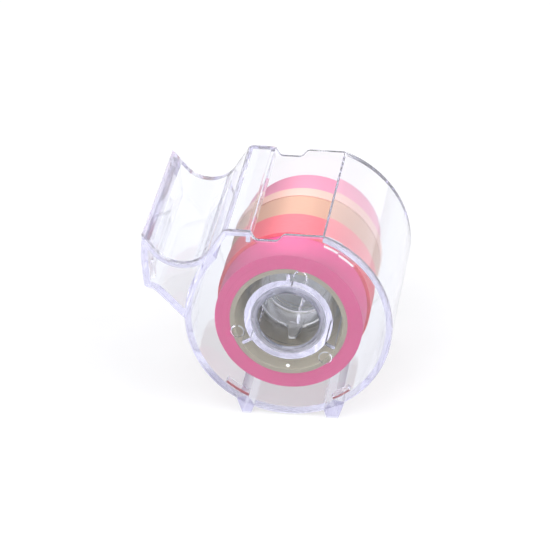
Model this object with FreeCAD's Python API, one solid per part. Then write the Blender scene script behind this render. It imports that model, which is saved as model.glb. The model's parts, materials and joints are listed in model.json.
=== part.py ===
"""A clear desk dispenser that holds five narrow rolls of coloured paper tape side by side.

Units are millimetres. X runs from the cutting lip (-X) to the round back (+X), Y runs along the roll axis
from the side cover (-Y) to the closed side of the case (+Y), and Z is up. The origin is at the middle of the
footprint, on the surface that the dispenser stands on. Profiles are drawn about the roll axis, which is the
middle of the drum. The hub's tube sits a little above it, and the hub's ribs are centred on it.
"""

import FreeCAD, Part
import math
import os

Vector = FreeCAD.Vector

# ---- driving dimensions: case -------------------------------------------------------------------
WIDTH = 48.0  # over both side plates, along Y
PLATE = 1.2  # thickness of a side plate
WALL = 1.6  # thickness of the wall round the drum and the arm
SEAM_GAP = 0.06  # parting line between the cover and the case
DRUM_RADIUS = 25.5  # outside of the drum
FOOT_DROP = 0.4  # the feet stand this far below the drum
EDGE_ROUND = 0.45  # rounding of the outer plate edges

# ---- driving dimensions: arm, finger trough and bar (about the roll axis) -------------------------
LIP_X, LIP_Z = -35.7, 21.9  # the cutting edge
# corners of the arm's front and underside, as x, z and corner radius
ARM_REACH = 36.0
ARM_BELLY = (-ARM_REACH, 15.0, 25.0)
ARM_CHIN = (-35.3, 7.7, 1.2)
ARM_THROAT = (-32.7, 7.0, 2.5)
ARM_FRONT = 35.95  # foremost point of the belly's curve
ARM_ROOT_ANGLE = 181.0  # where the underside meets the drum
ARM_ROOT_LAP = 3.0  # degrees that the drum wall inside the arm runs on past it
DRUM_END = 137.0  # where the drum wall ends against the underside of the trough
TROUGH_X, TROUGH_Z, TROUGH_RADIUS = -26.1, 22.6, 7.8  # the arc of the finger trough
TROUGH_START, TROUGH_END = 222.0, 328.0  # its ends, in degrees
BAR_TOP = 24.4  # flat bar that the tape rests on
BAR_EDGE = -9.2  # rear edge of the bar
BAR_FRONT_ROUND, BAR_EDGE_ROUND = 1.6, 0.5
BAR_LIP = 3.1  # depth of the turned-down rear edge
BAR_LIP_THICK = 1.1
OPENING_Z = 24.1  # flat top of the side plates behind the dip
DIP_Z = 22.2  # floor of the dip in the side plates
DIP_REAR_TOP, DIP_REAR, DIP_FRONT = -1.0, -2.6, -7.9  # corners of the dip, along X
DIP_ROUND, DIP_FRONT_ROUND = 1.4, 1.2
SHELL_OPEN = (10.0, 30.0)  # the wall is cut away between these heights above the rolls
TOOTH_PITCH = 1.2
TOOTH_DEPTH = 0.75
TOOTH_MARGIN = 0.5  # plain lip left beside each end of the row of teeth

# ---- driving dimensions: feet -------------------------------------------------------------------
FEET = ((-10.3, 2.2), (11.0, 2.8))  # middle of each foot rail, and its width where it stands
FOOT_HEIGHT = 4.4
FOOT_DRAFT = 1.5  # each side leans out by this much over the height

# ---- driving dimensions: hub --------------------------------------------------------------------
HUB_LIFT = 0.6  # the tube's middle is this far above the roll axis
HUB_RADIUS = 10.9
HUB_BORE = 9.3
RIB_RADIUS = 13.2  # crests of the three ribs that carry the cores, about the roll axis
RIB_THICK = 0.9
COVER_RIBS = (90.0, 210.0, 330.0)  # their angles on the cover's half of the hub
CASE_RIBS = (30.0, 150.0, 270.0)  # and on the case's half
COVER_HOLE = 7.6
SPIGOT_RADIUS = 9.15
SPIGOT_BORE = 8.45
SPIGOT_CHAMFER = 0.35
HUB_MEET = -2.9  # where the two hub tubes meet, along Y
LEDGE_BORE = 7.9  # the inward ledge that ties the spigot to the hub
LEDGE_THICK = 1.0
SPIGOT_END = -10.5
FINGER_END = -16.7
FINGER_ROOT, FINGER_TIP = 3.3, 1.9  # width of a finger where it leaves the spigot, and at its round tip
FINGER_FLARE = 1.1  # the round corners at a finger's root
FINGER_ANGLES = (90.0, 270.0)
BUMP_RADIUS = 9.24  # of the bump near each fingertip, as squeezed in by the bore
BUMP_AT, BUMP_LENGTH = 1.6, 1.0  # its middle from the fingertip, and its length along Y
HUB_CLEAR = 0.1  # between the ends of the two hub tubes

# ---- driving dimensions: cover ------------------------------------------------------------------
TAB_HEIGHT = 2.0  # the tabs stand this far in from the plate
TAB_THICK = 0.9
TAB_CLEAR = 0.2  # between a tab and the wall that it locates in
ARM_TAB_CLEAR = 0.75
TABS = ((68.0, 58.5), (-50.0, -62.0), (-115.0, -131.0))  # ends, in degrees
JOG_TAB = (57.5, 46.0)  # this one stands a little further in
JOG = 0.35
ARM_TAB = (10.0, 14.5)  # height of the tab inside the arm's front
PIN_MARKS = (77.0, -45.5, -165.0)
PIN_MARK_CIRCLE, PIN_MARK_RADIUS, PIN_MARK_DEPTH = 13.0, 1.7, 0.35
PIN_MARK_FLARE = 0.25  # how far their sloping sides open out
GATE_Z = -11.7
GATE_RADIUS, GATE_DEPTH = 0.45, 0.45

# ---- driving dimensions: rolls ------------------------------------------------------------------
CORE_BORE = 13.28  # radius of the bore of a one-inch paper core
CORE_RADIUS = 14.5
ROLL_GAP = 0.2
WIDE, SLIM = 10.1, 4.0
# name, width and outer radius of each roll, from the cover inwards
ROLLS = (
    ("magenta", WIDE, 18.25),
    ("coral", WIDE, 19.0),
    ("apricot", WIDE, 18.7),
    ("blush", SLIM, 18.9),
    ("rose", WIDE, 17.5),
)

# ---- construction -------------------------------------------------------------------------------
ROOT = 0.2  # how far a wall that stands on another runs into it
PAST = 1.0  # how far a cutter runs past what it cuts
FLAT = 1e-6

# ---- worked out ---------------------------------------------------------------------------------
HUB_X = (ARM_FRONT - DRUM_RADIUS) / 2
HUB_Z = DRUM_RADIUS + FOOT_DROP
NEAR = -WIDTH / 2
FAR = WIDTH / 2
COVER_INNER = NEAR + PLATE
CASE_NEAR = COVER_INNER + SEAM_GAP
CASE_INNER = FAR - PLATE
DRUM_BORE = DRUM_RADIUS - WALL


def place(x, z, y=0.0):
    """A point given about the roll axis, in the part's frame."""
    return Vector(HUB_X + x, y, HUB_Z + z)


def polar(radius, degrees):
    a = math.radians(degrees)
    return radius * math.cos(a), radius * math.sin(a)


def line(a, b):
    return Part.LineSegment(place(*a), place(*b)).toShape()


def arc(centre, radius, start, end):
    """An arc about centre from start to end degrees, in that order."""
    points = [polar(radius, d) for d in (start, (start + end) / 2, end)]
    return Part.Arc(*[place(centre[0] + x, centre[1] + z) for x, z in points]).toShape()


def on_circle(centre, radius, degrees):
    x, z = polar(radius, degrees)
    return centre[0] + x, centre[1] + z


def rounded(points):
    """Edges through (x, z, radius) points: straight runs joined by tangent arcs."""
    edges = []
    here = points[0][:2]
    for before, corner, after in zip(points, points[1:], points[2:]):
        to_before = Vector(before[0] - corner[0], 0, before[1] - corner[1]).normalize()
        to_after = Vector(after[0] - corner[0], 0, after[1] - corner[1]).normalize()
        half = to_before.getAngle(to_after) / 2
        back = corner[2] / math.tan(half)
        to_middle = (to_before + to_after).normalize()
        reach = corner[2] / math.sin(half) - corner[2]
        start = (corner[0] + to_before.x * back, corner[1] + to_before.z * back)
        middle = (corner[0] + to_middle.x * reach, corner[1] + to_middle.z * reach)
        end = (corner[0] + to_after.x * back, corner[1] + to_after.z * back)
        edges.append(line(here, start))
        edges.append(Part.Arc(place(*start), place(*middle), place(*end)).toShape())
        here = end
    edges.append(line(here, points[-1][:2]))
    return edges


def solid(face, y0, y1):
    """A flat face drawn at Y 0, extruded between two places along Y."""
    body = face.extrude(Vector(0, y1 - y0, 0))
    body.translate(Vector(0, y0, 0))
    return body


def tube(outer, inner, y0, y1):
    ring = cylinder(outer, y0, y1)
    return ring.cut(cylinder(inner, y0 - PAST, y1 + PAST))


def cylinder(radius, y0, y1, x=0.0, z=0.0):
    return Part.makeCylinder(radius, y1 - y0, place(x, z, y0), Vector(0, 1, 0))


def lifted(shape):
    """A copy of a shape drawn about the roll axis, moved up to the middle of the hub's tube."""
    copy = shape.copy()
    copy.translate(Vector(0, 0, HUB_LIFT))
    return copy


def box(x0, x1, z0, z1, y0, y1):
    return Part.makeBox(x1 - x0, y1 - y0, z1 - z0, place(x0, z0, y0))


def turned(shape, degrees):
    """A copy turned about the roll axis, counter-clockwise as seen from the cover."""
    copy = shape.copy()
    copy.rotate(place(0, 0), Vector(0, 1, 0), -degrees)
    return copy


def sector(outer, inner, start, end, y0, y1):
    """Part of a ring about the roll axis, from start down to end degrees."""
    face = Part.Face(
        Part.Wire(
            [
                arc((0, 0), outer, start, end),
                line(on_circle((0, 0), outer, end), on_circle((0, 0), inner, end)),
                arc((0, 0), inner, end, start),
                line(on_circle((0, 0), inner, start), on_circle((0, 0), outer, start)),
            ]
        )
    )
    return solid(face, y0, y1)


# ---- the outline that both side plates share --------------------------------------------------------
TROUGH = (TROUGH_X, TROUGH_Z)
TROUGH_FRONT = on_circle(TROUGH, TROUGH_RADIUS, TROUGH_START)
TROUGH_REAR = on_circle(TROUGH, TROUGH_RADIUS, TROUGH_END)
OPENING_X = math.sqrt(DRUM_RADIUS**2 - OPENING_Z**2)
OPENING_ANGLE = math.degrees(math.asin(OPENING_Z / DRUM_RADIUS))
ARM_ROOT = on_circle((0, 0), DRUM_RADIUS, ARM_ROOT_ANGLE)
RISE = (BAR_TOP - TROUGH_REAR[1]) * math.tan(math.radians(360.0 - TROUGH_END))
BAR_FRONT = (TROUGH_REAR[0] + RISE, BAR_TOP, BAR_FRONT_ROUND)


def front_path():
    """From the cutting lip down the front of the arm and along its slanted underside to the drum."""
    return rounded([(LIP_X, LIP_Z), ARM_BELLY, ARM_CHIN, ARM_THROAT, ARM_ROOT])


def plate_outline():
    """The closed outline of a side plate, feet included."""
    top = rounded(
        [
            (OPENING_X, OPENING_Z),
            (DIP_REAR_TOP, OPENING_Z, DIP_ROUND),
            (DIP_REAR, DIP_Z, DIP_ROUND),
            (DIP_FRONT, DIP_Z, DIP_FRONT_ROUND),
            (BAR_EDGE, BAR_TOP, BAR_EDGE_ROUND),
            BAR_FRONT,
            TROUGH_REAR,
        ]
    )
    trough = [
        arc(TROUGH, TROUGH_RADIUS, TROUGH_END, TROUGH_START),
        line(TROUGH_FRONT, (LIP_X, LIP_Z)),
    ]
    drum = [arc((0, 0), DRUM_RADIUS, ARM_ROOT_ANGLE, 360.0 + OPENING_ANGLE)]
    return Part.Face(Part.Wire(top + trough + front_path() + drum))


def foot_profile(middle, width):
    """One foot: a short rail under the drum whose sides draw in towards the ground."""
    bottom, top = width / 2, width / 2 + FOOT_DRAFT
    return Part.Face(
        Part.makePolygon(
            [
                place(middle - top, FOOT_HEIGHT - HUB_Z),
                place(middle + top, FOOT_HEIGHT - HUB_Z),
                place(middle + bottom, -HUB_Z),
                place(middle - bottom, -HUB_Z),
                place(middle - top, FOOT_HEIGHT - HUB_Z),
            ]
        )
    )


def feet(y0, y1):
    """The two foot rails between two places along Y."""
    hollow = cylinder(DRUM_RADIUS - ROOT, y0 - PAST, y1 + PAST)
    return Part.makeCompound([solid(foot_profile(*foot), y0, y1).cut(hollow) for foot in FEET])


def side_plate(y0, y1, outer_y):
    """A side plate with its feet, its rim rounded on the face at outer_y."""
    plate = rounded_rim(solid(plate_outline(), y0, y1), outer_y, EDGE_ROUND)
    return plate.fuse(feet(y0, y1)).removeSplitter()


def shell(y0, y1):
    """The wall that follows the outline: drum, arm, finger trough and bar, open above the rolls."""
    hollow = plate_outline().makeOffset2D(-WALL, 2)
    wall = solid(plate_outline(), y0, y1).cut(solid(hollow, y0 - PAST, y1 + PAST))
    wall = wall.cut(box(BAR_EDGE, OPENING_X, *SHELL_OPEN, y0 - PAST, y1 + PAST))
    inside_arm = sector(DRUM_RADIUS, DRUM_BORE, DRUM_END, ARM_ROOT_ANGLE + ARM_ROOT_LAP, y0, y1)
    edge = BAR_EDGE - BAR_LIP_THICK
    bar_lip = box(edge, BAR_EDGE, BAR_TOP - BAR_LIP, BAR_TOP - BAR_EDGE_ROUND, y0, y1)
    return wall.fuse([inside_arm, bar_lip])


def rounded_rim(shape, y, radius):
    """Rounds the outer rim of a plate, on its face at y. The rim is the longest wire of that face."""
    face = max(
        (
            f
            for f in shape.Faces
            if abs(f.CenterOfMass.y - y) < FLAT and f.BoundBox.YLength < FLAT
        ),
        key=lambda f: f.Area,
    )
    return shape.makeFillet(radius, face.OuterWire.Edges)


# ---- hub -------------------------------------------------------------------------------------------
def hub_tube(y0, y1, rib_angles):
    """A tube with three lengthwise ribs, whose crests carry the cores."""
    straight = RIB_RADIUS - RIB_THICK / 2
    rib = box(HUB_RADIUS - HUB_LIFT - ROOT, straight, -RIB_THICK / 2, RIB_THICK / 2, y0, y1)
    rib = rib.fuse(cylinder(RIB_THICK / 2, y0, y1, straight, 0))
    ribs = [turned(rib, angle) for angle in rib_angles]
    return lifted(tube(HUB_RADIUS, HUB_BORE, y0, y1)).fuse(ribs).removeSplitter()


def spigot_wall(end):
    """The spigot's wall as a full tube that ends in a chamfer, which leads it into the cover's hub."""
    points = [
        (SPIGOT_BORE, end),
        (SPIGOT_RADIUS - SPIGOT_CHAMFER, end),
        (SPIGOT_RADIUS, end + SPIGOT_CHAMFER),
        (SPIGOT_RADIUS, HUB_MEET + ROOT),
        (SPIGOT_BORE, HUB_MEET + ROOT),
        (SPIGOT_BORE, end),
    ]
    section = Part.Face(Part.makePolygon([place(x, 0.0, y) for x, y in points]))
    return section.revolve(place(0, 0), Vector(0, 1, 0), 360)


def finger_blade():
    """A finger's outline across the wall: spread where it leaves the spigot, and narrowing to a round tip."""
    inside = SPIGOT_BORE - PAST
    half, tip = FINGER_ROOT / 2, FINGER_TIP / 2
    wide, inset = half + FINGER_FLARE, FINGER_FLARE * (1 - math.sqrt(0.5))
    root, behind = SPIGOT_END - FINGER_FLARE, SPIGOT_END + PAST
    shoulder = FINGER_END + tip

    def at(z, y):
        return place(inside, z, y)

    def straight(a, b):
        return Part.LineSegment(at(*a), at(*b)).toShape()

    def curved(a, b, c):
        return Part.Arc(at(*a), at(*b), at(*c)).toShape()

    edges = [
        straight((wide, behind), (-wide, behind)),
        straight((-wide, behind), (-wide, SPIGOT_END)),
        curved((-wide, SPIGOT_END), (-half - inset, SPIGOT_END - inset), (-half, root)),
        straight((-half, root), (-tip, shoulder)),
        curved((-tip, shoulder), (0, FINGER_END), (tip, shoulder)),
        straight((tip, shoulder), (half, root)),
        curved((half, root), (half + inset, SPIGOT_END - inset), (wide, SPIGOT_END)),
        straight((wide, SPIGOT_END), (wide, behind)),
    ]
    return Part.Face(Part.Wire(edges)).extrude(Vector(SPIGOT_RADIUS + PAST - inside, 0, 0))


def spring_fingers():
    """The two tongues that reach out of the spigot, each with a low bump near its round tip."""
    y0 = FINGER_END + BUMP_AT - BUMP_LENGTH / 2
    bump = tube(BUMP_RADIUS, SPIGOT_RADIUS - ROOT, y0, y0 + BUMP_LENGTH)
    blades = Part.makeCompound([turned(finger_blade(), angle) for angle in FINGER_ANGLES])
    return spigot_wall(FINGER_END).fuse(bump).common(blades)


def spigot():
    """The thin tube on the end of the case's hub that enters the cover's hub, with its spring fingers."""
    ledge = tube(HUB_BORE + 2 * ROOT, LEDGE_BORE, HUB_MEET, HUB_MEET + LEDGE_THICK)
    return lifted(spigot_wall(SPIGOT_END).fuse([ledge, spring_fingers()]).removeSplitter())


# ---- sub-parts ----------------------------------------------------------------------------------------
def cutting_teeth():
    """The notches between the teeth of the cutting lip, as one cutter."""
    count = int((CASE_INNER - CASE_NEAR - 2 * TOOTH_MARGIN) / TOOTH_PITCH)
    first = (CASE_NEAR + CASE_INNER - count * TOOTH_PITCH) / 2
    reach = WALL + PAST
    notch = Part.Face(
        Part.makePolygon(
            [
                Vector(0, 0, -TOOTH_DEPTH),
                Vector(0, TOOTH_PITCH / 2, TOOTH_PITCH / 2),
                Vector(0, -TOOTH_PITCH / 2, TOOTH_PITCH / 2),
                Vector(0, 0, -TOOTH_DEPTH),
            ]
        )
    ).extrude(Vector(2 * reach, 0, 0))
    notch.translate(place(LIP_X - reach, LIP_Z))
    notches = []
    for i in range(count):
        copy = notch.copy()
        copy.translate(Vector(0, first + (i + 0.5) * TOOTH_PITCH, 0))
        notches.append(copy)
    return Part.makeCompound(notches)


def case_body():
    """The moulding with the closed side, the drum wall, the arm with its trough and lip, and half the hub."""
    y0, y1 = CASE_NEAR, CASE_INNER + ROOT
    body = side_plate(CASE_INNER, FAR, FAR)
    body = body.fuse([shell(y0, y1), feet(y0, y1)])
    body = body.fuse([hub_tube(HUB_MEET, y1, CASE_RIBS), spigot()])
    body = body.cut(lifted(cylinder(HUB_BORE, CASE_INNER - PAST, FAR + PAST)))
    return body.cut(cutting_teeth()).removeSplitter()


def pin_marks():
    """Shallow round marks that the moulding pins leave on the inside of the cover, as one cutter."""
    marks = []
    for angle in PIN_MARKS:
        x, z = polar(PIN_MARK_CIRCLE, angle)
        bottom = place(x, z, COVER_INNER - PIN_MARK_DEPTH)
        mark = Part.makeCone(
            PIN_MARK_RADIUS - PIN_MARK_FLARE, PIN_MARK_RADIUS, PIN_MARK_DEPTH, bottom, Vector(0, 1, 0)
        )
        marks.append(mark)
    return Part.makeCompound(marks)


def gate_mark():
    """The small conical dimple that the injection gate leaves on the outside of the cover, as a cutter."""
    mouth = place(0, GATE_Z, NEAR)
    return Part.makeCone(GATE_RADIUS, 0.0, GATE_DEPTH, mouth, Vector(0, 1, 0))


def tabs():
    """The low tabs that locate the cover inside the drum wall and the arm."""
    y0, y1 = COVER_INNER - ROOT, COVER_INNER + TAB_HEIGHT
    outer = DRUM_BORE - TAB_CLEAR
    made = [sector(outer, outer - TAB_THICK, start, end, y0, y1) for start, end in TABS]
    made.append(sector(outer - JOG, outer - JOG - TAB_THICK, *JOG_TAB, y0, y1))
    x0 = -ARM_REACH + WALL + ARM_TAB_CLEAR
    made.append(box(x0, x0 + TAB_THICK, *ARM_TAB, y0, y1))
    return made


def side_cover():
    """The flat cover with the other half of the hub and the tabs that locate it in the drum."""
    cover = side_plate(NEAR, COVER_INNER, NEAR).cut(pin_marks())
    cover = cover.cut(lifted(cylinder(COVER_HOLE, NEAR - PAST, COVER_INNER + PAST)))
    cover = cover.fuse([hub_tube(COVER_INNER - ROOT, HUB_MEET - HUB_CLEAR, COVER_RIBS)] + tabs())
    return cover.cut(gate_mark()).removeSplitter()


def rolls():
    """Each roll's paper core and wound tape, as (name, core, tape), from the cover inwards."""
    made = []
    total = sum(width for _, width, _ in ROLLS) + ROLL_GAP * (len(ROLLS) - 1)
    y = (COVER_INNER + CASE_INNER - total) / 2
    for name, width, radius in ROLLS:
        core = tube(CORE_RADIUS, CORE_BORE, y, y + width)
        tape = tube(radius, CORE_RADIUS, y, y + width)
        made.append((name, core, tape))
        y += width + ROLL_GAP
    return made


def main():
    nodes = {"case_body": case_body(), "side_cover": side_cover()}
    for name, core, tape in rolls():
        nodes["core_" + name] = core
        nodes["tape_" + name] = tape
    os.makedirs("parts", exist_ok=True)
    for name, shape in nodes.items():
        lone = shape.Solids[0] if len(shape.Solids) == 1 else shape
        bounds = lone.optimalBoundingBox(False)
        print(
            f"{name}: solids {len(shape.Solids)} valid {shape.isValid()} volume {shape.Volume:.1f} "
            f"x {bounds.XMin:.2f}..{bounds.XMax:.2f} y {bounds.YMin:.2f}..{bounds.YMax:.2f} "
            f"z {bounds.ZMin:.2f}..{bounds.ZMax:.2f}"
        )
        lone.exportStep(f"parts/{name}.step")


main()
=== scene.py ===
import json
import math
import random

import bmesh
import bpy
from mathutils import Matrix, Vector


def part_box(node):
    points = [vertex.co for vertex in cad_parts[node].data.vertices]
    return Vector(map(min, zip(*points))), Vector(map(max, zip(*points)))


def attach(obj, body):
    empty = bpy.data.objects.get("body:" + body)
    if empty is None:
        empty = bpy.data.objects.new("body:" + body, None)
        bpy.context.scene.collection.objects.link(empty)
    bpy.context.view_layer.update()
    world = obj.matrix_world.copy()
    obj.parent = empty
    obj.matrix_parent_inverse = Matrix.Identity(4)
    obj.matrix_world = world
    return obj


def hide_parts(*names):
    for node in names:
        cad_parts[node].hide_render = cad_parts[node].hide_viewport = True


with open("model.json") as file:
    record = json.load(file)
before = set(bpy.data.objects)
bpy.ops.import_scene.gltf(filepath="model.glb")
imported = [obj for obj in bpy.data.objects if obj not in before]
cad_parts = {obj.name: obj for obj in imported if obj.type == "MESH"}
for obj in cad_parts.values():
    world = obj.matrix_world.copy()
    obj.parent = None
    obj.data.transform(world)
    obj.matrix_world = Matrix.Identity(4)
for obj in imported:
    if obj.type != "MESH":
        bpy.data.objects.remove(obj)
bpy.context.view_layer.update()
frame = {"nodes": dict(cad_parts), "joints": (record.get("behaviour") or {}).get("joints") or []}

# A clear moulded dispenser with five rolls of coloured paper tape on grey board cores.
# Metres, in the frame of the CAD part: +X towards the round back, +Y along the roll axis, +Z up.

MM = 0.001

# ---- places, read from the frame ------------------------------------------------------------------
ROLLS = [name[len("tape_"):] for name in frame["nodes"] if name.startswith("tape_")]
SPIN = next(j for j in frame["joints"] if j["type"] == "hinge")
AXIS = Vector(SPIN["pos_m"])  # a point on the axis that the rolls turn on
TUBE = AXIS + Vector((0, 0, 0.6 * MM))  # the middle of the hub's tube is a little above it
COVER_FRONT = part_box("side_cover")[0].y
COVER_BACK = COVER_FRONT + 1.2 * MM

# ---- camera -----------------------------------------------------------------------------------------
CAMERA_AZIMUTH = 7.22
CAMERA_ELEVATION = 28.21
CAMERA_DISTANCE = 0.7972
CAMERA_LENS = 208.8
CAMERA_SHIFT = (-0.0460, 0.0043)
CAMERA_CLIP = (0.05, 20.0)

# ---- light ------------------------------------------------------------------------------------------
SKY_FRONT = (0.58, 0.57, 0.68, 1)
SKY_BACK = (1.4, 1.4, 1.46, 1)
SKY_TOP = (1.0, 1.0, 1.0, 1)
FLOOR_GLOW = 0.66
FLOOR_DARK, FLOOR_PALE = (0.24, 0.24, 0.25, 1), (0.26, 0.26, 0.27, 1)
FLOOR_SIZE = 6.0
BOX_SIZE = (1.0, 1.0)
# name, place and power of each softbox
SOFTBOXES = (
    ("key_left", (-0.5, -0.6, 0.9), 6.0),
    ("fill_right", (0.9, -0.3, 0.6), 9.0),
    ("fill_front", (-0.35, -1.1, 0.55), 8.0),
)
BOUNCES = 200  # light runs a long way inside clear walls
DIFFUSE_BOUNCES = 8

# ---- windings and cores --------------------------------------------------------------------------
STEPS_ROUND = 240
SMOOTH_ANGLE = math.radians(30)
TAPE_THICKNESS = 0.09 * MM
EDGE_STEP = 0.18 * MM  # from one group of layers to the next, up the side of a winding
EDGE_DRIFT = 0.05 * MM  # how far a group of layers stands in
EDGE_SHARE = 0.7  # how much of a step is flat
LAST_IN, LAST_DRIFT = 0.04 * MM, 0.02 * MM  # the side's last point, from the outer radius and inwards
TAPE_EDGE = 0.05 * MM  # from the side to the flat outside of the last turn
TAPE_END = (0.55, 0.95)  # where the last turn may end, in turns
CORE_BORE = 13.28 * MM
CORE_CHAMFER = 0.12 * MM
LINER = 0.1 * MM
# span along the axis over which the liner's olive gives way to a painted cool light from the hub's open far
# end
LINER_PAINTED_BACKLIGHT_SPAN = (-6.0 * MM, 6.0 * MM)  # where it changes colour, along the axis

# ---- clear plastic: where its finishes are ----------------------------------------------------------
MOUTH_RING, TORN_EDGE, FOOT = 1, 2, 3  # places in the list of finishes, after the clear one
MOUTH_HOLE, HUB_BORE = 7.6 * MM, 9.3 * MM
GATE_NEAR, GATE_FAR = 11.0 * MM, 12.4 * MM
FINGERS = (-16.8 * MM, -10.4 * MM)  # along the axis
SPIGOT_WALL = (8.47 * MM, 9.12 * MM)
BELOW_DRUM, FEET_TOP = 25.55 * MM, 4.5 * MM
PAST = 0.01 * MM  # clear of a face that lies right on a limit
FACES_FRONT = 0.99  # the part of a normal along the axis, in a face that faces the front

# ---- clear plastic: its look ---------------------------------------------------------------------
PLASTIC_IOR = 1.52
PLASTIC_TINT = (0.95, 0.96, 0.975, 1)
FEET_TINT = (0.78, 0.77, 0.92, 1)
CLEAR, FROSTED, TORN, FEET = 0.99, 0.35, 0.2, 0.75  # the share of light that passes
POLISHED, ROUGH, SATIN = (0.0, 0.03), (0.5, 0.7), (0.15, 0.35)
ABSORPTION = 25.0
BODY_COLOUR = (0.70, 0.68, 0.85, 1)
# painted glow: light given off by the clear plastic's body, standing in for light scattered inside it
PAINTED_GLOW_COLOUR = (0.66, 0.64, 0.70, 1)
PAINTED_GLOW_STRENGTH = 5.0
# painted shade near the hub's hole and painted streaks of light further out, on the ring round the hub's
# mouth
PAINTED_SHADE_NEAR_HOLE, PAINTED_LIGHT_STREAK = (0.20, 0.21, 0.27, 1), (0.86, 0.86, 1.0, 1)

# ---- paper: sRGB colours ---------------------------------------------------------------------------
PAPER = {
    "magenta": (235, 72, 146),
    "coral": (240, 110, 124),
    "apricot": (218, 168, 144),
    "blush": (240, 192, 180),
    "rose": (240, 148, 180),
}
BOARD_DARK, BOARD_PALE, BOARD_FLECK = (165, 157, 138), (188, 180, 158), (172, 168, 150)
# the liner's own olive, and a cool grey that paints the light coming in through the hub's open far end
LINER_OLIVE, LINER_PAINTED_BACKLIGHT = (236, 226, 200), (214, 222, 232)


def linear(colour):
    """An sRGB colour given as 0-255 values, as a linear RGBA."""
    return [((c / 255 + 0.055) / 1.055) ** 2.4 if c > 10 else c / 255 / 12.92 for c in colour] + [1.0]


# ---- node helpers ----------------------------------------------------------------------------------
class Nodes:
    """A node tree, with short calls that add a node and link its inputs."""

    def __init__(self, tree):
        self.tree = tree
        self.coordinates = self.add("ShaderNodeTexCoord")
        self.place = self.coordinates.outputs["Object"]

    def add(self, kind, **settings):
        node = self.tree.nodes.new(kind)
        for key, value in settings.items():
            setattr(node, key, value)
        return node

    def put(self, socket, value):
        if isinstance(value, bpy.types.NodeSocket):
            self.tree.links.new(value, socket)
        else:
            socket.default_value = value

    def maths(self, operation, a, b=0.0):
        node = self.add("ShaderNodeMath", operation=operation)
        self.put(node.inputs[0], a)
        self.put(node.inputs[1], b)
        return node.outputs[0]

    def vector(self, x, y, z):
        node = self.add("ShaderNodeCombineXYZ")
        for socket, value in zip(node.inputs, (x, y, z)):
            self.put(socket, value)
        return node.outputs[0]

    def noise(self, at, scale, detail=3.0, roughness=0.5):
        node = self.add("ShaderNodeTexNoise")
        self.put(node.inputs["Vector"], at)
        node.inputs["Scale"].default_value = scale
        node.inputs["Detail"].default_value = detail
        node.inputs["Roughness"].default_value = roughness
        return node.outputs["Fac"]

    def spread(self, value, low, high, start=0.3, end=0.7):
        """A value from start..end mapped to low..high."""
        node = self.add("ShaderNodeMapRange")
        for socket, number in zip(node.inputs, (value, start, end, low, high)):
            self.put(socket, number)
        return node.outputs[0]

    def mix(self, share, a, b):
        node = self.add("ShaderNodeMix", data_type="RGBA")
        self.put(node.inputs["Factor"], share)
        self.put(node.inputs["A"], a)
        self.put(node.inputs["B"], b)
        return node.outputs["Result"]

    def bump(self, height, strength, distance, under=None):
        node = self.add("ShaderNodeBump")
        self.put(node.inputs["Height"], height)
        node.inputs["Strength"].default_value = strength
        node.inputs["Distance"].default_value = distance
        if under is not None:
            self.put(node.inputs["Normal"], under)
        return node.outputs["Normal"]

    def round_about(self, middle):
        """Radius from a line along Y through the middle, angle round it in turns, and place along it."""
        split = self.add("ShaderNodeSeparateXYZ")
        self.put(split.inputs[0], self.place)
        x = self.maths("SUBTRACT", split.outputs["X"], middle.x)
        z = self.maths("SUBTRACT", split.outputs["Z"], middle.z)
        square = self.maths("ADD", self.maths("MULTIPLY", x, x), self.maths("MULTIPLY", z, z))
        angle = self.maths("DIVIDE", self.maths("ARCTAN2", z, x), 2 * math.pi)
        return self.maths("SQRT", square), angle, split.outputs["Y"]


# ---- materials ------------------------------------------------------------------------------------
def new_material(name):
    """A new material, its nodes, and the shader that is already among them."""
    material = bpy.data.materials.new(name)
    material.use_nodes = True
    return material, Nodes(material.node_tree), material.node_tree.nodes["Principled BSDF"]


def clear_plastic(name, clarity, roughness, tint=PLASTIC_TINT):
    """Clear moulded polystyrene. It takes up a little red and green, so long paths turn its edges lavender.

    The share that isn't clear scatters light, as a frosted or torn surface does. The body also gives off a
    faint painted glow, in place of light scattered inside the plastic.
    """
    material, n, s = new_material(name)
    s.inputs["Base Color"].default_value = tint
    s.inputs["Transmission Weight"].default_value = clarity
    s.inputs["IOR"].default_value = PLASTIC_IOR
    n.put(s.inputs["Roughness"], n.spread(n.noise(n.place, 60.0, 2.0), *roughness))
    flow = n.bump(n.noise(n.place, 160.0, 1.0), 0.02, 0.05 * MM)
    n.put(s.inputs["Normal"], n.bump(n.noise(n.place, 9000.0, 2.0), roughness[1], 0.02 * MM, flow))
    body = n.add("ShaderNodeVolumeAbsorption")
    body.inputs["Color"].default_value = BODY_COLOUR
    body.inputs["Density"].default_value = ABSORPTION
    # painted glow: the plastic's body gives off light though it is no lamp, in place of light scattered
    # inside it
    painted_glow = n.add("ShaderNodeEmission")
    painted_glow.inputs["Color"].default_value = PAINTED_GLOW_COLOUR
    painted_glow.inputs["Strength"].default_value = PAINTED_GLOW_STRENGTH
    both = n.add("ShaderNodeAddShader")
    n.put(both.inputs[0], body.outputs[0])
    n.put(both.inputs[1], painted_glow.outputs[0])
    n.put(n.tree.nodes["Material Output"].inputs["Volume"], both.outputs[0])
    return material


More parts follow.
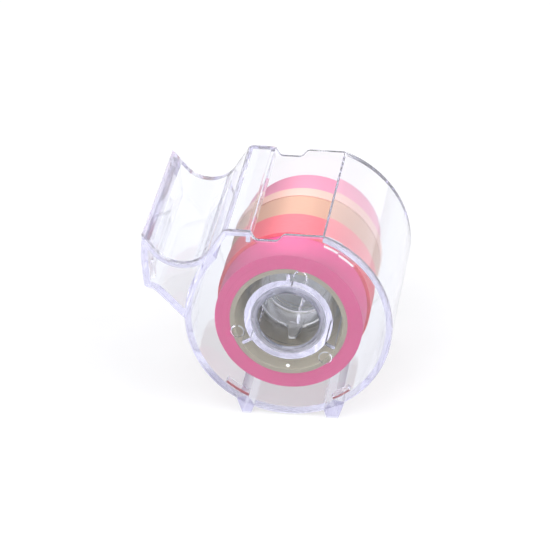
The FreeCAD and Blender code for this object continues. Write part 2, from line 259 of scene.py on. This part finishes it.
def painted_streak_plastic():
    """The ring of plate round the hub's mouth: frosted plastic whose colour has painted streaks of light,
    and painted shade that grows dimmer near the hole, in place of the light that the clear ring bends.
    """
    material, n, s = new_material("mouth_painted_light_polystyrene")
    radius, angle, _ = n.round_about(TUBE)
    round_it = n.vector(n.maths("MULTIPLY", radius, 1400.0), n.maths("MULTIPLY", angle, 9.0), 0.0)
    streaks = n.spread(n.noise(round_it, 1.0, 3.0, 0.6), -0.3, 0.3)
    # painted light: the ring's colour runs from painted shade at the hole to painted bright streaks
    # outwards, standing in for light carried through the clear plastic
    painted_light_outward = n.spread(radius, 0.25, 0.85, MOUTH_HOLE, HUB_BORE)
    n.put(s.inputs["Base Color"], n.mix(n.maths("ADD", painted_light_outward, streaks), PAINTED_SHADE_NEAR_HOLE, PAINTED_LIGHT_STREAK))
    s.inputs["Transmission Weight"].default_value = FROSTED
    s.inputs["IOR"].default_value = PLASTIC_IOR
    n.put(s.inputs["Roughness"], n.spread(streaks, 0.15, 0.4, -0.3, 0.3))
    n.put(s.inputs["Normal"], n.bump(streaks, 0.3, 0.1 * MM))
    return material


def finish_of(face):
    """Which finish a face of a moulding has: 0 is the clear one."""
    from_axis = math.hypot(face.center.x - AXIS.x, face.center.z - AXIS.z)
    from_tube = math.hypot(face.center.x - TUBE.x, face.center.z - TUBE.z)
    inside_cover_plate = COVER_FRONT + PAST < face.center.y < COVER_BACK + PAST
    if inside_cover_plate and from_tube < HUB_BORE:
        return MOUTH_RING
    if inside_cover_plate and abs(face.normal.y) < FACES_FRONT and GATE_NEAR < from_axis < GATE_FAR:
        return TORN_EDGE
    if FINGERS[0] < face.center.y < FINGERS[1] and SPIGOT_WALL[0] < from_tube < SPIGOT_WALL[1]:
        return TORN_EDGE
    if from_axis > BELOW_DRUM and face.center.z < FEET_TOP:
        return FOOT
    return 0


def dress_moulding(node, finishes):
    """Polished plastic, but with painted streaks of light round the hub's mouth, and torn at the gate and
    the fingers' edges.

    The feet are cloudy.
    """
    piece = frame["nodes"][node]
    piece.data.materials.clear()
    for finish in finishes:
        piece.data.materials.append(finish)
    for face in piece.data.polygons:
        face.material_index = finish_of(face)


def paper_tape(name, colour):
    """Fibrous coloured paper, whose cut sides show the turns of the winding."""
    material, n, s = new_material("tape_paper_" + name)
    radius, angle, along = n.round_about(AXIS)
    turns = n.noise(n.vector(n.maths("MULTIPLY", radius, 9000.0), 0.0, 0.0), 1.0, 2.0)
    round_it = n.vector(n.maths("MULTIPLY", angle, 60.0), n.maths("MULTIPLY", along, 3500.0), 0.0)
    fibres = n.noise(round_it, 1.0, 4.0, 0.6)
    base = linear(colour)
    deep = [c * 0.86 for c in base[:3]] + [1.0]
    pale = [1 - (1 - c) * 0.93 for c in base[:3]] + [1.0]
    wound = n.mix(n.spread(turns, 0.0, 1.0), deep, pale)
    n.put(s.inputs["Base Color"], n.mix(n.spread(fibres, 0.0, 0.35), wound, base))
    n.put(s.inputs["Roughness"], n.spread(fibres, 0.5, 0.68))
    s.inputs["Sheen Weight"].default_value = 0.15
    edge = n.bump(turns, 0.35, 0.04 * MM)
    n.put(s.inputs["Normal"], n.bump(fibres, 0.2, 0.03 * MM, edge))
    return material


def core_board():
    """Grey-olive board with visible plies, and a paler olive liner in the bore, painted cooler away from
    the cover as painted light from the hub's open far end.
    """
    material, n, s = new_material("core_greyboard")
    radius, _, along = n.round_about(AXIS)
    plies = n.noise(n.vector(n.maths("MULTIPLY", radius, 2600.0), 0.0, 0.0), 1.0, 1.0)
    grain = n.noise(n.place, 3500.0, 5.0, 0.65)
    flecks = n.noise(n.place, 900.0, 3.0)
    board = n.mix(n.spread(plies, 0.0, 1.0), linear(BOARD_DARK), linear(BOARD_PALE))
    board = n.mix(n.spread(flecks, 0.0, 0.5), board, linear(BOARD_FLECK))
    liner = n.spread(radius, 1.0, 0.0, CORE_BORE, CORE_BORE + LINER)
    # painted light: the liner turns from its own olive to a painted cool grey away from the cover
    lining_and_painted_backlight = n.mix(n.spread(along, 0.0, 1.0, *LINER_PAINTED_BACKLIGHT_SPAN), linear(LINER_OLIVE), linear(LINER_PAINTED_BACKLIGHT))
    n.put(s.inputs["Base Color"], n.mix(liner, board, lining_and_painted_backlight))
    s.inputs["Roughness"].default_value = 0.85
    n.put(s.inputs["Normal"], n.bump(grain, 0.3, 0.05 * MM, n.bump(plies, 0.3, 0.1 * MM)))
    return material


def floor_material():
    """A matt pale floor that glows a little, so that it is as white as the sky."""
    material, n, s = new_material("studio_floor")
    speck = n.noise(n.place, 40.0, 2.0)
    n.put(s.inputs["Base Color"], n.mix(n.spread(speck, 0.0, 1.0), FLOOR_DARK, FLOOR_PALE))
    s.inputs["Roughness"].default_value = 0.9
    s.inputs["Specular IOR Level"].default_value = 0.0
    s.inputs["Emission Color"].default_value = (1, 1, 1, 1)
    s.inputs["Emission Strength"].default_value = FLOOR_GLOW
    return material


# ---- meshes ---------------------------------------------------------------------------------------
def new_object(name, mesh_builder, material):
    mesh = bpy.data.meshes.new(name)
    mesh_builder.to_mesh(mesh)
    mesh_builder.free()
    piece = bpy.data.objects.new(name, mesh)
    bpy.context.scene.collection.objects.link(piece)
    piece.data.materials.append(material)
    return piece


def turned_ring(name, profile, material, radius_at=None):
    """Turns a closed (radius, y) profile about the roll axis.

    radius_at gives each radius at a share of the turn, from 0 to 1.
    """
    builder = bmesh.new()
    loops = []
    for step in range(STEPS_ROUND):
        share = step / STEPS_ROUND
        angle = 2 * math.pi * share
        loop = []
        for radius, y in profile:
            r = radius_at(radius, share) if radius_at else radius
            loop.append(builder.verts.new((AXIS.x + r * math.cos(angle), y, AXIS.z + r * math.sin(angle))))
        loops.append(loop)
    for a, b in zip(loops, loops[1:] + loops[:1]):
        for i in range(len(profile)):
            j = (i + 1) % len(profile)
            builder.faces.new((a[i], a[j], b[j], b[i]))
    bmesh.ops.recalc_face_normals(builder, faces=builder.faces)
    piece = new_object(name, builder, material)
    for face in piece.data.polygons:
        face.use_smooth = True
    piece.data.set_sharp_from_angle(angle=SMOOTH_ANGLE)
    return piece


def wound_side(inner, outer, y, inwards, rng):
    """Points up one cut side of a winding, where each few layers stand in a little.

    inwards is the way into the winding along Y: 1 or -1.
    """
    points = []
    radius = inner
    while radius < outer - EDGE_STEP:
        drift = y + inwards * rng.uniform(0.1, 1.0) * EDGE_DRIFT
        points += [(radius, drift), (radius + EDGE_STEP * EDGE_SHARE, drift)]
        radius += EDGE_STEP
    points.append((outer - LAST_IN, y + inwards * LAST_DRIFT))
    return points


def winding(name):
    """One roll's tape: a tight spiral whose last turn ends in a step across the roll."""
    low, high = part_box("tape_" + name)
    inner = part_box("core_" + name)[1].x - AXIS.x
    outer = high.x - AXIS.x
    rng = random.Random(name)
    near = wound_side(inner, outer, low.y, 1, rng)
    far = wound_side(inner, outer, high.y, -1, rng)
    profile = near + [(outer, low.y + TAPE_EDGE), (outer, high.y - TAPE_EDGE)] + far[::-1]
    end = rng.uniform(*TAPE_END)

    def spiral(radius, share):
        lead = (share - end) % 1.0
        fade = (radius - inner) / (outer - inner)
        return radius - TAPE_THICKNESS * lead * fade

    piece = turned_ring("winding_" + name, profile, paper_tape(name, PAPER[name]), spiral)
    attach(piece, "roll_" + name)
    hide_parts("tape_" + name)


def core(name, material):
    """A board core: a plain ring with a small chamfer at each edge."""
    low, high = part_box("core_" + name)
    outer = high.x - AXIS.x
    profile = [
        (CORE_BORE, low.y + CORE_CHAMFER),
        (CORE_BORE + CORE_CHAMFER, low.y),
        (outer - CORE_CHAMFER, low.y),
        (outer, low.y + CORE_CHAMFER),
        (outer, high.y - CORE_CHAMFER),
        (outer - CORE_CHAMFER, high.y),
        (CORE_BORE + CORE_CHAMFER, high.y),
        (CORE_BORE, high.y - CORE_CHAMFER),
    ]
    piece = turned_ring("board_core_" + name, profile, material)
    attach(piece, "roll_" + name)
    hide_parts("core_" + name)


# ---- stage ------------------------------------------------------------------------------------------
def make_floor():
    builder = bmesh.new()
    bmesh.ops.create_grid(builder, x_segments=8, y_segments=8, size=FLOOR_SIZE)
    floor = new_object("floor", builder, floor_material())


def make_world():
    """A white studio: bright behind the object and overhead, and dimmer on the camera's side."""
    world = bpy.data.worlds.new("studio")
    bpy.context.scene.world = world
    world.use_nodes = True
    n = Nodes(world.node_tree)
    split = n.add("ShaderNodeSeparateXYZ")
    n.put(split.inputs[0], n.coordinates.outputs["Generated"])
    behind = n.spread(split.outputs["Y"], 0.0, 1.0, -0.3, 0.5)
    overhead = n.spread(split.outputs["Z"], 0.0, 1.0, 0.0, 0.7)
    horizon = n.mix(behind, SKY_FRONT, SKY_BACK)
    n.put(n.tree.nodes["Background"].inputs["Color"], n.mix(overhead, horizon, SKY_TOP))
    n.tree.nodes["Background"].inputs["Strength"].default_value = 1.0


def softbox(name, place, power):
    light = bpy.data.lights.new(name, "AREA")
    light.shape = "RECTANGLE"
    light.size, light.size_y = BOX_SIZE
    light.energy = power
    lamp = bpy.data.objects.new(name, light)
    lamp.location = place
    lamp.rotation_euler = (AXIS - Vector(place)).to_track_quat("-Z", "Y").to_euler()
    bpy.context.scene.collection.objects.link(lamp)


def make_camera():
    camera = bpy.data.objects.new("camera", bpy.data.cameras.new("camera"))
    a, e = math.radians(CAMERA_AZIMUTH), math.radians(CAMERA_ELEVATION)
    back = Vector((math.sin(a) * math.cos(e), -math.cos(a) * math.cos(e), math.sin(e)))
    camera.location = AXIS + back * CAMERA_DISTANCE
    camera.rotation_euler = (-back).to_track_quat("-Z", "Y").to_euler()
    camera.data.lens = CAMERA_LENS
    camera.data.shift_x, camera.data.shift_y = CAMERA_SHIFT
    camera.data.clip_start, camera.data.clip_end = CAMERA_CLIP
    bpy.context.scene.collection.objects.link(camera)
    bpy.context.scene.camera = camera


def main():
    finishes = [
        clear_plastic("clear_polystyrene", CLEAR, POLISHED),
        painted_streak_plastic(),
        clear_plastic("torn_polystyrene", TORN, ROUGH),
        clear_plastic("foot_polystyrene", FEET, SATIN, FEET_TINT),
    ]
    for node in ("case_body", "side_cover"):
        dress_moulding(node, finishes)
    board = core_board()
    for name in ROLLS:
        winding(name)
        core(name, board)
    make_floor()
    make_world()
    for name, place, power in SOFTBOXES:
        softbox(name, place, power)
    make_camera()
    scene = bpy.context.scene
    scene.view_settings.view_transform = "Standard"
    scene.cycles.max_bounces = BOUNCES
    scene.cycles.transmission_bounces = BOUNCES
    scene.cycles.glossy_bounces = BOUNCES
    scene.cycles.diffuse_bounces = DIFFUSE_BOUNCES


main()
